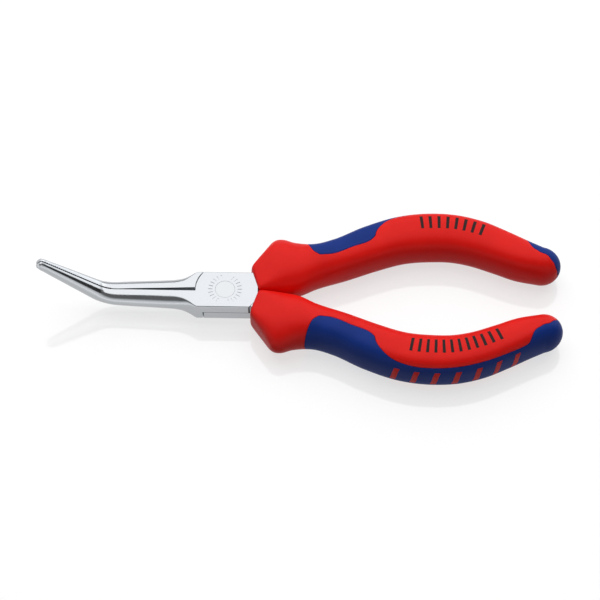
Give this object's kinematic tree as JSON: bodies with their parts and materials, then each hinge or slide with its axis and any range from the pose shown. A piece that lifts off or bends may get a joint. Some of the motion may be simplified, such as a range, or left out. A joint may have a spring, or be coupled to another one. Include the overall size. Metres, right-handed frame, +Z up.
{
  "type": "needle nose pliers",
  "caption": "Slim long-nose pliers with closed half-round jaws angled upwards at the tips, a flat lap joint with a flush rivet, and moulded two-colour grips.",
  "frame": {"origin": "middle of the tool's length and width, on the surface that the grips lie on", "axes": "-X towards the jaw tips, +X towards the handle ends, +Y towards the handle of the upper lever, +Z up, out of the upper lap plate and the way the tips turn"},
  "size_m": [0.16, 0.058, 0.0241],
  "materials": {
    "plated_steel": "polished chrome plate on forged steel, fine polishing lines along the jaws",
    "rivet_steel": "steel rivet ground flush with the head, a little duller than the plate",
    "sleeve_plastic": "hard moulded plastic, unfinished because it is hidden",
    "red_plastic": "satin red moulding with a fine spark-eroded grain",
    "dark_print": "thin dark printed marks on the red mouldings",
    "blue_rubber": "matt dark blue soft moulding with a fine grain"
  },
  "bodies": {
    "top_half": {"lever_top": "plated_steel", "pivot_rivet": "rivet_steel", "right_grip_core": "sleeve_plastic", "right_grip_shell": "red_plastic", "right_grip_inlay": "blue_rubber"},
    "bottom_half": {"lever_bottom": "plated_steel", "left_grip_core": "sleeve_plastic", "left_grip_shell": "red_plastic", "left_grip_inlay": "blue_rubber"}
  },
  "joints": [
    {"name": "jaw_pivot", "type": "hinge", "parent": "top_half", "child": "bottom_half", "pos_m": [-0.0234, 0, 0.00685], "axis": [0, 0, -1], "range_deg": [0, 35]}
  ]
}
